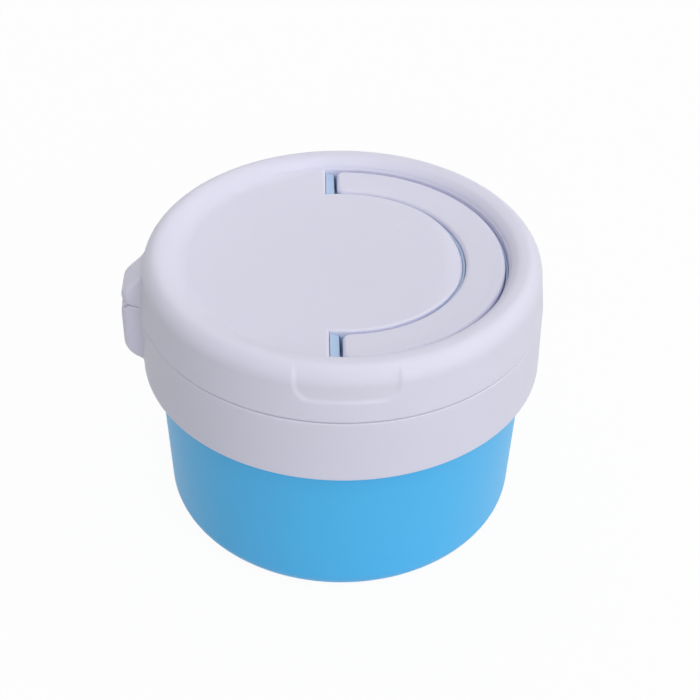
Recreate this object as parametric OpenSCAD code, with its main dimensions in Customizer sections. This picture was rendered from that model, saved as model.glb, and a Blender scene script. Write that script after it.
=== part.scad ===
// Toddler snack container: blue cup, white turn-off collar with a soft flap
// guard, and a white flip lid with a flush carrying handle.
// Millimetres, +Z up. Origin: centre of the cup's foot, on the table.
// The lid hinge is at -X and the two thumb recesses are at -Y and +Y.

/* [Cup] */
// Radial step from the seam edge of the collar in to the cup wall
cup_setback = 3.3; // [3:0.1:4]
// How much the cup narrows from its shoulder to its foot
cup_taper = 1.3; // [0.6:0.1:2]
// Height of the cup's rim above the table
cup_h = 56; // [52:0.5:62]
// Wall of the cup
cup_wall = 1.8; // [1.4:0.1:2.2]
// Thickness of the cup's floor
cup_floor = 2.2; // [1.8:0.1:3]
// Outside radius of the corner between foot and wall
cup_corner_r = 5.5; // [4:0.1:7]
// Rise of the recessed middle of the foot
foot_rise = 0.6; // [0.3:0.1:1]
// Width of the flat ring that the cup stands on
foot_ring_w = 4; // [3:0.5:6]
// Radial step from the cup's shoulder in to its neck
neck_step = 1.7; // [1.5:0.1:2]

/* [Collar] */
// Outside radius of collar and lid at the seam between them
seam_r = 50; // [49:0.5:56]
// How much wider the collar is at its lower edge
collar_flare = 0.36; // [0.1:0.02:0.8]
// Height of the collar's side
collar_h = 17.2; // [16:0.2:19]
// Wall of the collar
collar_wall = 2; // [1.8:0.1:2.3]
// Thickness of the collar's deck around the mouth
deck_t = 2; // [1.6:0.1:2.6]
// Radial width of the deck from the seam edge in to the mouth
deck_w = 10; // [9.7:0.1:11.5]
// Height of the ring on the deck that the lid snaps over
spigot_h = 2.5; // [2.3:0.1:2.8]
// Thickness of that ring
spigot_t = 1.2; // [1:0.1:1.4]
// Thickness of the gasket over the cup's rim
gasket_t = 1.5; // [1:0.1:2]

/* [Lug lock] */
// Number of lugs on cup and collar
lug_count = 4; // [3:1:4]
// Angle that one lug spans
lug_deg = 28; // [20:1:34]
// Height of a lug
lug_h = 2; // [1.6:0.1:2.4]
// How far the cup's lugs stand out of its neck
lug_reach = 2.1; // [1.8:0.1:2.4]
// Depth of the cup's lugs below its rim
lug_drop = 4.4; // [4:0.1:6]

/* [Lid] */
// Height of the lid from its lower edge to its crest
lid_h = 14; // [13.6:0.1:15]
// How much the lid's side narrows up to the round of the rim
lid_taper = 0.9; // [0.4:0.1:1.2]
// Width of the round at the rim
rim_round_w = 5.15; // [4.8:0.05:5.4]
// Height of the round at the rim
rim_round_h = 5.6; // [5:0.1:6]
// Wall of the lid
lid_wall = 2; // [1.8:0.1:2.2]
// Depth of the top recess below the crest
recess_depth = 4.3; // [4:0.1:4.6]
// Width of the slope from the crest down to the recess
slope_w = 2.95; // [2.6:0.05:3.2]
// Thickness of the lid's top
top_t = 2; // [1.8:0.1:2.2]
// Wall of the inner liner
liner_wall = 1.5; // [1.2:0.1:1.6]
// Thickness of the lid seal on each side of the liner's skirt
seal_t = 0.7; // [0.5:0.1:0.8]

/* [Thumb recesses] */
// Width of a thumb recess
thumb_w = 24.6; // [20:0.2:28]
// Height of its lower edge above the lid's lower edge
thumb_z = 5; // [4:0.1:6]
// Depth of a thumb recess
thumb_depth = 0.75; // [0.4:0.05:1]
// Radius of its lower corners
thumb_corner_r = 4.5; // [3:0.1:6]

/* [Handle] */
// Width of the handle band
handle_w = 9; // [8:0.1:10]
// Thickness of the handle
handle_t = 4.5; // [4:0.1:4.6]
// How far the handle stands above the recess
handle_proud = 1; // [0.6:0.1:1.2]
// Gap between the handle and the channel's walls
handle_gap = 1.1; // [0.8:0.05:1.4]
// Rounding of the handle's edges
handle_edge_r = 1.1; // [0.6:0.1:1.5]
// Distance of the handle's pivot in front of the lid's centre plane
pivot_x = 1.8; // [1.2:0.1:2.4]
// Length of handle behind its pivot
handle_tail = 2.5; // [2.2:0.1:2.8]
// Radius of the pivot stubs
stub_r = 1.5; // [1.2:0.1:1.6]
// Length of notch behind the handle's ends
notch_l = 3.05; // [2.8:0.05:3.5]
// Width of the finger scoop beside the handle
scoop_w = 5; // [4:0.2:6]
// Depth of the finger scoop at the handle
scoop_depth = 1.3; // [0.8:0.1:1.5]
// Angle that the finger scoop spans
scoop_deg = 72; // [50:2:90]

/* [Hinge] */
// Distance from the seam edge out to the outer face of the hinge block
hinge_reach = 4.8; // [4.6:0.1:5.4]
// Width of the hinge block
hinge_w = 11.2; // [10:0.2:14]
// Depth of the pin's axis behind the block's outer face
pin_depth = 1.3; // [1.2:0.05:1.6]
// Radius of the knuckles
knuckle_r = 0.9; // [0.8:0.05:1]
// Radius of the hinge pin
pin_r = 0.5; // [0.4:0.05:0.6]
// Height of the collar's half of the hinge block
block_h = 16.6; // [13:0.2:16.6]
// Angle to which the lid opens
lid_open = 95; // [80:1:100]

/* [Flap guard] */
// Number of soft flaps
flap_count = 6; // [6:1:6]
// Distance of a flap's bend line from the edge of the mouth
guard_web = 8.4; // [8:0.1:10]
// Thickness of a flap
flap_t = 1.2; // [1:0.1:1.4]
// Width of the slits between flaps
slit_w = 0.8; // [0.6:0.1:1.2]
// Radius of the hole where the flaps meet
flap_hole_r = 6; // [4:0.5:8]
// Thickness of the guard's two lips
guard_lip_t = 1; // [0.8:0.1:1.2]
// How far the lips grip over the deck
guard_grip = 2; // [1.5:0.1:2.2]

/* [Hidden] */

cup_blue = "#49a8dc";
shell_white = "#e9e9f2";
liner_blue = "#6fa9dd";
guard_blue = "#a8cdee";
seal_grey = "#d5dbe4";
pin_white = "#dfe3ea";

// Clearances
seam_gap = 0.3;      // between collar and lid
move_gap = 0.3;      // between parts that move past each other
side_gap = 0.2;      // between knuckles
rest_gap = 0.2;      // between a part and what it rests on
gasket_gap = 0.7;    // between the guard's lower lip and the gasket
run_fit = 0.05;      // radial play of a pin or stub in its bore
edge_r = 0.8;        // soft lower edge of the collar
fine = 96;           // facets of a preview circle
eps = 0.01;

// Heights, from the table up
gasket_z = cup_h + rest_gap;
deck_z = gasket_z + gasket_t;
collar_top = deck_z + deck_t;
collar_z = collar_top - collar_h;
shoulder_z = collar_z + 1;
lid_z = collar_top + seam_gap;
crest_z = lid_z + lid_h;
floor_z = crest_z - recess_depth;
seam_z = (collar_top + lid_z) / 2;

// Radii, from the seam edge in
cup_r = seam_r - cup_setback;
cup_low_r = cup_r - cup_taper;
neck_r = cup_r - neck_step;
bore_r = seam_r - collar_wall;
spigot_r = bore_r - 0.8;
spigot_in_r = spigot_r - spigot_t;
mouth_r = seam_r - deck_w;
rim_r = seam_r - lid_taper;
crest_r = rim_r - rim_round_w;
recess_r = crest_r - slope_w;
lid_in_r = seam_r - lid_wall;
channel_r = recess_r - 0.2;
handle_r = channel_r - handle_gap;
handle_in_r = handle_r - handle_w;
channel_in_r = handle_in_r - handle_gap;
round_z = crest_z - rim_round_h;

// Handle
handle_top = floor_z + handle_proud;
handle_z = handle_top - handle_t;
pivot_z = handle_z + handle_t / 2;
tail_swing = sqrt(pow(handle_tail, 2) + pow(handle_t / 2, 2));
handle_end_x = pivot_x - handle_tail;
handle_end_r = 2;
notch_x = handle_end_x - notch_l;
boss_half = stub_r + 1.6;
boss_r = channel_r + 3.2;
stub_end = boss_r - 0.8;

// Liner
trough_z = pivot_z - tail_swing - move_gap;
plate_top = floor_z - top_t - rest_gap;
flange_z = trough_z - liner_wall + 0.8;
bead_h = 0.8;
pad_r = 3;
skirt_t = 1.4;
skirt_in_r = (mouth_r + guard_grip + spigot_in_r - skirt_t) / 2 - 0.1;
skirt_z = lid_z + 1.2;
seal_z = collar_top + rest_gap;
seal_room = 1.2;        // free height between the seal and the liner's flange
seal_h = flange_z - seal_z - seal_room;

// Hinge
face_x = -(seam_r + hinge_reach);
pin_x = face_x + pin_depth;
half_w = hinge_w / 2;
mid_half = hinge_w / 6;
knuckle_end = half_w - 1;
block_corner = 1.6;     // soft outer corners of the block
flare_r = 2.4;          // fillet between the block and the wall
block_reach = 4;        // how far the block's fillets may reach to each side
open_margin = 5;        // degrees kept free beyond the lid's full opening
notch_angle = (lid_open + open_margin) / 2;
notch_half = pin_depth * tan(notch_angle);
notch_edge = 0.9;       // softening of the two edges of the hinge notch
block_edge = 1.6;       // softening of the collar's face below the notch
block_low_w = 4.6;      // round at the bottom of the collar's half
block_low_h = 5.2;
nose_setback = 0.4;     // the lid's half stands this much behind the collar's
nose_edge = 2.4;        // softening of the nose of the lid's half
slope_rise = 8.8;       // height in the lid at which the nose's top slope meets the wall
slope_z = lid_z + slope_rise;
slope_angle = 42;

// Lugs
cup_lug_top = cup_h - lug_drop;
cup_lug_z = cup_lug_top - lug_h;
collar_lug_z = cup_lug_z - move_gap - lug_h;
cup_lug_r = neck_r + lug_reach;
collar_lug_r = neck_r + 0.6;

// Flaps
flap_top = collar_top - 0.5;
flap_z = flap_top - flap_t / 2;
flap_line = mouth_r - guard_web;
web_line = flap_line + flap_t / 2 + 0.2;
guard_r = mouth_r - 0.1;
guard_in_r = mouth_r - 3;
grip_r = mouth_r + guard_grip;

// Points of an elliptic arc in the r-z plane
function arc(cx, cz, rx, rz, a0, a1, n) =
    [for (i = [0:n]) let (a = a0 + (a1 - a0) * i / n) [cx + rx * cos(a), cz + rz * sin(a)]];

// Direction from the outer edge of the hinge notch in to the pin
function notch_dir(side) = [cos(notch_angle), -side * sin(notch_angle)];

// Points of a soft bend from a to c around the corner b
function bend(a, b, c, n) =
    [for (i = [0:n]) let (t = i / n) (1 - t) * (1 - t) * a + 2 * t * (1 - t) * b + t * t * c];

// Soft S-curve from the crest down to the recess floor
function slope(r0, r1, z0, z1, n) =
    [for (i = [0:n]) let (t = i / n) [r0 + (r1 - r0) * t, z0 + (z1 - z0) * (1 - cos(180 * t)) / 2]];

// A ring of rectangular section
module ring(r_in, r_out, z0, h) {
    rotate_extrude($fn = fine)
        translate([r_in, z0])
            square([r_out - r_in, h]);
}

// Extrudes a drawing in the x-z plane to both sides of the x axis
module across(w) {
    translate([0, w / 2, 0])
        rotate([90, 0, 0])
            linear_extrude(height = w)
                children();
}

// A round bar along y, centred on the hinge pin's axis
module pin_bar(r, y0, y1) {
    translate([pin_x, y1, seam_z])
        rotate([90, 0, 0])
            cylinder(r = r, h = y1 - y0, $fn = 48);
}

// ---- cup ----

module cup_profile() {
    in_low_r = cup_low_r - cup_wall;
    in_r = cup_r - cup_wall;
    neck_in_r = neck_r - cup_wall;
    foot_in_r = cup_low_r - cup_corner_r - foot_ring_w;
    in_corner = cup_corner_r - cup_wall;
    polygon(concat(
        [[0, foot_rise], [foot_in_r, foot_rise], [foot_in_r + foot_rise, 0]],
        arc(cup_low_r - cup_corner_r, cup_corner_r, cup_corner_r, cup_corner_r, -90, 0, 8),
        [[cup_r, shoulder_z - 1]],
        arc(cup_r - 1, shoulder_z - 1, 1, 1, 20, 90, 4),
        [[neck_r + 0.3, shoulder_z], [neck_r, shoulder_z + 0.3]],
        arc(neck_r - 0.6, cup_h - 0.6, 0.6, 0.6, 0, 90, 4),
        arc(neck_in_r + 0.6, cup_h - 0.6, 0.6, 0.6, 90, 180, 4),
        [[neck_in_r, shoulder_z - 1.2], [in_r, shoulder_z - 3.4]],
        arc(in_low_r - in_corner, cup_floor + in_corner, in_corner, in_corner, 0, -90, 8),
        [[0, cup_floor]]
    ));
}

// Lugs around the neck of the cup or inside the collar
module lugs(r_in, r_out, z0) {
    for (i = [0:lug_count - 1])
        rotate([0, 0, i * 360 / lug_count - lug_deg / 2 + 45])
            rotate_extrude(angle = lug_deg, $fn = fine)
                translate([r_in, z0])
                    square([r_out - r_in, lug_h]);
}

module cup() {
    color(cup_blue)
        union() {
            rotate_extrude($fn = fine)
                cup_profile();
            lugs(neck_r - 0.5, cup_lug_r, cup_lug_z);
        }
}

module cup_gasket() {
    color(seal_grey)
        ring(grip_r + gasket_gap, bore_r - 0.2, gasket_z, gasket_t);
}

// ---- hinge block, shared by collar and lid ----

// Outline of the block seen from above: soft outer corners, and a fillet on
// each side that runs out on a round wall of radius wall_r
module block_plan(wall_r, inner_x) {
    fillet_y = half_w + flare_r;
    fillet_x = -sqrt(pow(wall_r + flare_r, 2) - pow(fillet_y, 2));
    touch_y = fillet_y * wall_r / (wall_r + flare_r);
    translate([face_x + block_corner, -half_w])
        square([inner_x - face_x - block_corner, hinge_w]);
    translate([face_x, -half_w + block_corner])
        square([inner_x - face_x, hinge_w - 2 * block_corner]);
    for (side = [-1, 1])
        translate([face_x + block_corner, side * (half_w - block_corner)])
            circle(r = block_corner, $fn = 48);
    difference() {
        translate([fillet_x, -touch_y])
            square([inner_x - fillet_x, 2 * touch_y]);
        for (side = [-1, 1])
            translate([fillet_x, side * fillet_y])
                circle(r = flare_r, $fn = 48);
    }
}

// Side view of the collar's half: a slope away from the pin at the top, a soft
// edge, and a large round at the bottom
module collar_block_side() {
    low_z = collar_top - block_h;
    shoulder = [face_x, seam_z - notch_half];
    polygon(concat(
        [[-seam_r + 2, collar_top], [pin_x + side_gap, collar_top], [pin_x, seam_z - seam_gap]],
        bend(shoulder + notch_edge * notch_dir(-1), shoulder, shoulder - [0, block_edge], 4),
        arc(face_x + block_low_w, low_z + block_low_h, block_low_w, block_low_h, 180, 270, 8),
        [[-seam_r + 2, low_z]]
    ));
}

// Side view of the lid's half: a slope away from the pin at the bottom, a soft
// nose, and a slope up to the wall on top
module lid_block_side() {
    nose_x = face_x + nose_setback;
    shoulder = [nose_x, seam_z + (pin_x - nose_x) * tan(notch_angle)];
    knee = [nose_x, slope_z + (nose_x + rim_r) * tan(slope_angle)];
    slope_dir = [cos(slope_angle), sin(slope_angle)];
    soft = [0, (knee[1] - shoulder[1]) / 2];
    polygon(concat(
        [[-crest_r, lid_z], [pin_x + side_gap, lid_z], [pin_x, seam_z + seam_gap]],
        bend(shoulder + notch_edge * notch_dir(1), shoulder, shoulder + soft, 4),
        bend(knee - 0.99 * soft, knee, knee + nose_edge * slope_dir, 4),
        [[-crest_r, slope_z + rim_round_w * tan(slope_angle)]]
    ));
}

// ---- collar ----

module collar_profile() {
    low_r = seam_r + collar_flare;
    top_soft = 0.35;
    polygon(concat(
        arc(low_r - edge_r, collar_z + edge_r, edge_r, edge_r, -90, 0, 5),
        arc(seam_r - top_soft, collar_top - top_soft, top_soft, top_soft, 0, 90, 3),
        [[spigot_r, collar_top], [spigot_r, collar_top + 1.2],
         [spigot_r + 0.3, collar_top + 1.5], [spigot_r + 0.3, collar_top + 1.8],
         [spigot_r, collar_top + 2.1], [spigot_r, collar_top + spigot_h],
         [spigot_in_r, collar_top + spigot_h], [spigot_in_r, collar_top],
         [mouth_r, collar_top], [mouth_r, deck_z],
         [bore_r, deck_z], [bore_r, collar_z + 0.4],
         [bore_r + 0.4, collar_z]]
    ));
}

module collar() {
    color(shell_white)
        difference() {
            union() {
                rotate_extrude($fn = fine)
                    collar_profile();
                lugs(collar_lug_r, bore_r + 0.5, collar_lug_z);
                difference() {
                    intersection() {
                        translate([0, 0, collar_top - block_h])
                            linear_extrude(height = block_h)
                                block_plan(seam_r, -seam_r + 1);
                        across(hinge_w + 2 * block_reach)
                            collar_block_side();
                    }
                    pin_bar(knuckle_r + side_gap, -knuckle_end - side_gap, -mid_half);
                    pin_bar(knuckle_r + side_gap, mid_half, knuckle_end + side_gap);
                }
                middle_knuckle();
            }
            pin_bar(pin_r, -mid_half - 1, mid_half + 1);
        }
}

// The collar's knuckle between the lid's two, with the neck that carries it
module middle_knuckle() {
    w = mid_half - side_gap / 2;
    pin_bar(knuckle_r, -w, w);
    translate([pin_x - knuckle_r / 2, -w, seam_z - 2 * knuckle_r])
        cube([knuckle_r, 2 * w, 2 * knuckle_r]);
}

// ---- flap guard ----

module guard_ring() {
    sides = flap_count;
    color(guard_blue)
        difference() {
            union() {
                rotate_extrude($fn = fine)
                    polygon([
                        [guard_in_r, deck_z - guard_lip_t], [grip_r - 0.2, deck_z - guard_lip_t],
                        [grip_r - 0.2, deck_z], [guard_r, deck_z],
                        [guard_r, collar_top], [grip_r, collar_top],
                        [grip_r, collar_top + guard_lip_t], [guard_in_r, collar_top + guard_lip_t]
                    ]);
                translate([0, 0, flap_z - flap_t / 2])
                    cylinder(r = guard_in_r + 0.5, h = flap_t, $fn = fine);
            }
            translate([0, 0, flap_z - flap_t])
                rotate([0, 0, 180 / sides])
                    cylinder(r = web_line / cos(180 / sides), h = 2 * flap_t, $fn = sides);
        }
}

// One soft flap; its outer edge is a round bead on the bend line
module flap(index) {
    turn = (index - 1) * 360 / flap_count;
    half = 180 / flap_count;
    tip = flap_hole_r;
    inner = tip * tan(half) - slit_w / 2;
    outer = flap_line * tan(half) - slit_w;
    color(guard_blue)
        rotate([0, 0, turn])
            union() {
                difference() {
                    translate([0, 0, flap_z - flap_t / 2])
                        linear_extrude(height = flap_t)
                            polygon([[tip * 0.9, -inner], [flap_line, -outer],
                                     [flap_line, outer], [tip * 0.9, inner]]);
                    translate([0, 0, flap_z - flap_t])
                        cylinder(r = flap_hole_r, h = 2 * flap_t, $fn = 48);
                }
                translate([flap_line, outer, flap_z])
                    rotate([90, 0, 0])
                        cylinder(r = flap_t / 2, h = 2 * outer, $fn = 24);
            }
}

module flap_1() { flap(1); }
module flap_2() { flap(2); }
module flap_3() { flap(3); }
module flap_4() { flap(4); }
module flap_5() { flap(5); }
module flap_6() { flap(6); }

module hinge_pin() {
    color(pin_white)
        pin_bar(pin_r, -knuckle_end + 0.3, knuckle_end - 0.3);
}

// ---- lid ----

// Outside of the lid, filled down to its lower edge
module lid_outer_profile() {
    low_soft = 0.35;
    polygon(concat(
        [[0, lid_z], [seam_r - low_soft, lid_z], [seam_r, lid_z + low_soft]],
        arc(crest_r, round_z, rim_round_w, rim_round_h, 0, 90, 10),
        slope(crest_r, recess_r, crest_z, floor_z, 8),
        [[0, floor_z]]
    ));
}

// Hollow under the lid's top and inside its rim, with the snap bead at the
// lower edge and the bead that holds the liner
module lid_hollow_profile() {
    in_w = rim_round_w - lid_wall;
    in_h = rim_round_h - lid_wall;
    in_r = recess_r + lid_wall;
    snap = 0.3;
    polygon(concat(
        [[0, lid_z - 1], [lid_in_r, lid_z - 1], [lid_in_r, lid_z],
         [lid_in_r - snap, lid_z + 0.2], [lid_in_r - snap, lid_z + 0.7], [lid_in_r, lid_z + 1],
         [lid_in_r, flange_z - bead_h], [lid_in_r - 0.6, flange_z], [lid_in_r, flange_z],
         [lid_in_r, round_z - 1]],
        arc(crest_r, round_z, in_w + lid_taper / 2, in_h, 0, 80, 6),
        arc(crest_r, round_z, crest_r - in_r, in_h, 90, 180, 5),
        [[in_r, floor_z - top_t], [0, floor_z - top_t]]
    ));
}

// The C-shaped channel that the handle lies in, grown or shrunk by a margin
module channel_plan(margin) {
    difference() {
        circle(r = channel_r + margin, $fn = fine);
        circle(r = channel_in_r - margin, $fn = fine);
        translate([-2 * channel_r + notch_x - margin, -2 * channel_r])
            square([2 * channel_r, 4 * channel_r]);
    }
}

// Cutter of the thumb recess at -y. Its floor follows the lid's side and comes
// back out to the surface on the round of the rim
module thumb_cut() {
    z0 = lid_z + thumb_z;
    fade = 62;
    steps = 8;
    floor_line = [for (i = [0:steps]) let (a = fade * i / steps, d = thumb_depth * (1 - pow(i / steps, 2)))
        [crest_r + rim_round_w * cos(a) - d, round_z + rim_round_h * sin(a)]];
    intersection() {
        rotate([0, 0, -120])
            rotate_extrude(angle = 60, $fn = fine)
                polygon(concat(
                    [[seam_r + 3, z0], [seam_r - lid_taper / 2 - thumb_depth, z0]],
                    floor_line,
                    [[seam_r + 3, crest_z]]
                ));
        translate([0, -seam_r / 2, 0])
            rotate([90, 0, 0])
                linear_extrude(height = seam_r)
                    thumb_window(z0);
    }
}

// Front view of a thumb recess: square top, round lower corners
module thumb_window(z0) {
    half = thumb_w / 2;
    c = thumb_corner_r;
    translate([-half, z0 + c])
        square([thumb_w, lid_h]);
    translate([-half + c, z0])
        square([thumb_w - 2 * c, c + 1]);
    for (s = [-1, 1])
        translate([s * (half - c), z0 + c])
            circle(r = c, $fn = 48);
}

// Sloped finger scoop on the inner side of the channel
module scoop_cut() {
    rotate([0, 0, -scoop_deg / 2])
        rotate_extrude(angle = scoop_deg, $fn = fine)
            polygon([[channel_in_r - scoop_w, floor_z], [channel_in_r + 0.5, floor_z - scoop_depth],
                     [channel_in_r + 0.5, floor_z + 1], [channel_in_r - scoop_w, floor_z + 1]]);
}

// Block inside the rim that holds the socket of a handle stub, grown by a margin
module pivot_boss(side, margin) {
    y0 = channel_r + 0.1;
    translate([pivot_x, side * (y0 + boss_r) / 2, pivot_z])
        cube([2 * (boss_half + margin), boss_r - y0 + 2 * margin, 2 * (boss_half + margin)],
             center = true);
}

// A round bar on the handle's pivot axis, between two distances from the centre plane
module pivot_bar(side, r, y0, y1) {
    translate([pivot_x, side > 0 ? y1 : -y0, pivot_z])
        rotate([90, 0, 0])
            cylinder(r = r, h = y1 - y0, $fn = 48);
}

module lid_shell() {
    color(shell_white)
        difference() {
            union() {
                difference() {
                    union() {
                        rotate_extrude($fn = fine)
                            lid_outer_profile();
                        lid_block();
                    }
                    rotate_extrude($fn = fine)
                        lid_hollow_profile();
                    translate([0, 0, floor_z - top_t - 1])
                        linear_extrude(height = top_t + 1.4)
                            channel_plan(0);
                    scoop_cut();
                    thumb_cut();
                    rotate([0, 0, 180])
                        thumb_cut();
                }
                intersection() {
                    union() {
                        pivot_boss(-1, 0);
                        pivot_boss(1, 0);
                    }
                    ring(channel_r, seam_r - 1, pivot_z - boss_half, 2 * boss_half - 0.6);
                }
            }
            for (side = [-1, 1])
                pivot_bar(side, stub_r + run_fit, channel_r - 2, stub_end + 0.2);
            pin_bar(pin_r + run_fit, -knuckle_end, knuckle_end);
        }
}

// The lid's half of the hinge block with its two knuckles
module lid_block() {
    difference() {
        intersection() {
            translate([0, 0, lid_z])
                linear_extrude(height = lid_h)
                    block_plan(rim_r - 0.6, -crest_r);
            across(hinge_w + 2 * block_reach)
                lid_block_side();
        }
        pin_bar(knuckle_r + side_gap, -mid_half - side_gap, mid_half + side_gap);
    }
    for (side = [-1, 1])
        outer_knuckle(side);
}

module outer_knuckle(side) {
    y_in = mid_half + side_gap / 2;
    y0 = side > 0 ? y_in : -knuckle_end;
    y1 = side > 0 ? knuckle_end : -y_in;
    pin_bar(knuckle_r, y0, y1);
    translate([pin_x - knuckle_r / 2, y0, seam_z])
        cube([knuckle_r, y1 - y0, 2 * knuckle_r]);
}

module lid_liner() {
    wall_r = channel_r + liner_wall;
    low_z = trough_z - liner_wall;
    color(liner_blue)
        difference() {
            union() {
                translate([0, 0, plate_top - liner_wall])
                    cylinder(r = wall_r, h = liner_wall, $fn = fine);
                ring(channel_r, wall_r, low_z, plate_top - low_z);
                translate([0, 0, low_z])
                    linear_extrude(height = plate_top - low_z)
                        channel_plan(liner_wall);
                ring(wall_r - 0.5, lid_in_r - 0.1, flange_z, liner_wall);
                ring(skirt_in_r, skirt_in_r + skirt_t, skirt_z, flange_z - skirt_z + 0.5);
            }
            difference() {
                translate([0, 0, trough_z])
                    linear_extrude(height = plate_top)
                        channel_plan(0);
                for (side = [-1, 1])
                    rotate([0, 0, side * 42])
                        rest_pad();
            }
            pivot_boss(-1, rest_gap);
            pivot_boss(1, rest_gap);
        }
}

// Low pad in the channel that the folded handle rests on
module rest_pad() {
    mid_r = (handle_r + handle_in_r) / 2;
    translate([mid_r, 0, trough_z - 1])
        cylinder(r = pad_r, h = handle_z - rest_gap - trough_z + 1, $fn = 48);
}

module lid_seal() {
    color(seal_grey)
        difference() {
            ring(skirt_in_r - seal_t, skirt_in_r + skirt_t + seal_t, seal_z, seal_h);
            ring(skirt_in_r, skirt_in_r + skirt_t, skirt_z, seal_h);
        }
}

// ---- handle ----

// Section of the handle band with soft edges
module handle_section() {
    e = handle_edge_r;
    polygon(concat(
        arc(handle_in_r + e, handle_z + e, e, e, 180, 270, 4),
        arc(handle_r - e, handle_z + e, e, e, 270, 360, 4),
        arc(handle_r - e, handle_top - e, e, e, 0, 90, 4),
        arc(handle_in_r + e, handle_top - e, e, e, 90, 180, 4)
    ));
}

// Plan of the handle's reach: both corners of each end are rounded
module handle_plan() {
    c = handle_end_r;
    translate([handle_end_x + c, -handle_r - 1])
        square([handle_r + 5, 2 * handle_r + 2]);
    for (side = [-1, 1]) {
        mid = side * (handle_in_r + handle_w / 2);
        translate([handle_end_x, mid - handle_w / 2 + c])
            square([c + 1, handle_w - 2 * c]);
        for (step = [-1, 1])
            translate([handle_end_x + c, mid + step * (handle_w / 2 - c)])
                circle(r = c, $fn = 48);
    }
}

module handle() {
    color(shell_white)
        union() {
            intersection() {
                rotate_extrude($fn = fine)
                    handle_section();
                translate([0, 0, handle_z - 1])
                    linear_extrude(height = handle_t + 2)
                        handle_plan();
            }
            for (side = [-1, 1])
                pivot_bar(side, stub_r, handle_r - 3, stub_end);
        }
}

cup();
cup_gasket();
collar();
guard_ring();
flap_1();
flap_2();
flap_3();
flap_4();
flap_5();
flap_6();
hinge_pin();
lid_shell();
lid_liner();
lid_seal();
handle();
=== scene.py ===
# Toddler snack container: blue cup, white collar with a soft flap guard,
# and a white flip lid with a lie-flat carrying handle.
# The forms are worked out in millimetres, from the cup's foot up, and become metres in add_piece.
import math
import bpy
import bmesh
from mathutils import Matrix, Vector


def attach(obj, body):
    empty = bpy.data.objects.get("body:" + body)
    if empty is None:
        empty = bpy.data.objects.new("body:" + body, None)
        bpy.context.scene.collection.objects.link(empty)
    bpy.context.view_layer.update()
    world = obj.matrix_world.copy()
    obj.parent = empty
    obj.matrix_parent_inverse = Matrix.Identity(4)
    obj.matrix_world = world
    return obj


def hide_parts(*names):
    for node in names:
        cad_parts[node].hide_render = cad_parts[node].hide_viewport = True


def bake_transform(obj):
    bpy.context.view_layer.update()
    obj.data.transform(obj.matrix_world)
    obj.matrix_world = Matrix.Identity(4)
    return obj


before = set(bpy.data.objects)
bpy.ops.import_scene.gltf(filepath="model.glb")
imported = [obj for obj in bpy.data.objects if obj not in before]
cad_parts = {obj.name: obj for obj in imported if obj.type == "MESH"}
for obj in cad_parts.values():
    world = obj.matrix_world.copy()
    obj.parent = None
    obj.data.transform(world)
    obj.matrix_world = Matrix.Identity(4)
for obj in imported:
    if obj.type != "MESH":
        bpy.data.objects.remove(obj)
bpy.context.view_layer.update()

MM = 0.001

# Collar and lid
SEAM_R = 50.0
SEAM_EDGE = 0.35
COLLAR_LOW_R = 50.36
COLLAR_Z = 42.5
COLLAR_TOP = 59.7
DECK_Z = 57.7
BORE_R = 48.0
MOUTH_R = 40.0
LID_Z = 60.0
CREST_Z = 74.0
DOME_R = 45.1
DOME_Z = 73.6
RIM_R = 49.1
ROUND_Z = 68.4
CREST_R = 43.95
FLOOR_Z = 69.85
DISH = 1.1
TOP_UNDER_Z = 67.7

# Handle and its channel
CHANNEL_R = 40.8
CHANNEL_IN_R = 29.6
NOTCH_X = -3.75
HANDLE_R = 39.95
HANDLE_IN_R = 30.35
HANDLE_Z = 66.2
HANDLE_TOP = 70.5
HANDLE_END_X = -0.7
PIVOT_X = 1.8
PIVOT_Z = 68.45
TROUGH_Z = 64.79
PLATE_TOP = 67.5
PLATE_LOW = 66.0

# Hinge
PIN_X = -53.5
SEAM_Z = 59.85
KNUCKLE_R = 0.9
KNUCKLE_END = 4.6
NOTCH_SLOPE = math.radians(50)
NOSE_SLOPE = math.radians(42)
NOSE_TOP_Z = 68.8
HALF_W = 5.6
BLOCK_CORNER = 2.1
BLOCK_FLARE = 2.8
BLOCK_FACE = -54.8
NOSE_FACE = -54.4

# Flap guard
FLAP_Z = 58.6
FLAP_TURN = 60
BEND_FROM_R = 32.4

# Edges that turn by more degrees than this stay crisp.
SHARP = 32


# ---- outlines ----

def arc(cx, cy, rx, ry, a0, a1, steps):
    """Points of an elliptic arc between two angles in degrees."""
    points = []
    for i in range(steps + 1):
        a = math.radians(a0 + (a1 - a0) * i / steps)
        points.append((cx + rx * math.cos(a), cy + ry * math.sin(a)))
    return points


def soften(corners, steps=4):
    """A closed outline whose corners (x, y, radius) are rounded to their radius."""
    points = []
    count = len(corners)
    for i, (x, y, radius) in enumerate(corners):
        here = Vector((x, y))
        before = Vector(corners[i - 1][:2])
        after = Vector(corners[(i + 1) % count][:2])
        back = before - here
        ahead = after - here
        if radius <= 0 or back.length < 1e-6 or ahead.length < 1e-6:
            points.append((x, y))
            continue
        half_angle = back.angle(ahead) / 2
        reach = min(radius / math.tan(half_angle), 0.49 * back.length, 0.49 * ahead.length)
        start = here + back.normalized() * reach
        end = here + ahead.normalized() * reach
        weight = math.sin(half_angle)
        for k in range(steps + 1):
            t = k / steps
            a = (1 - t) ** 2
            b = 2 * weight * t * (1 - t)
            c = t * t
            p = (start * a + here * b + end * c) / (a + b + c)
            points.append((p.x, p.y))
    return points


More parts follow.
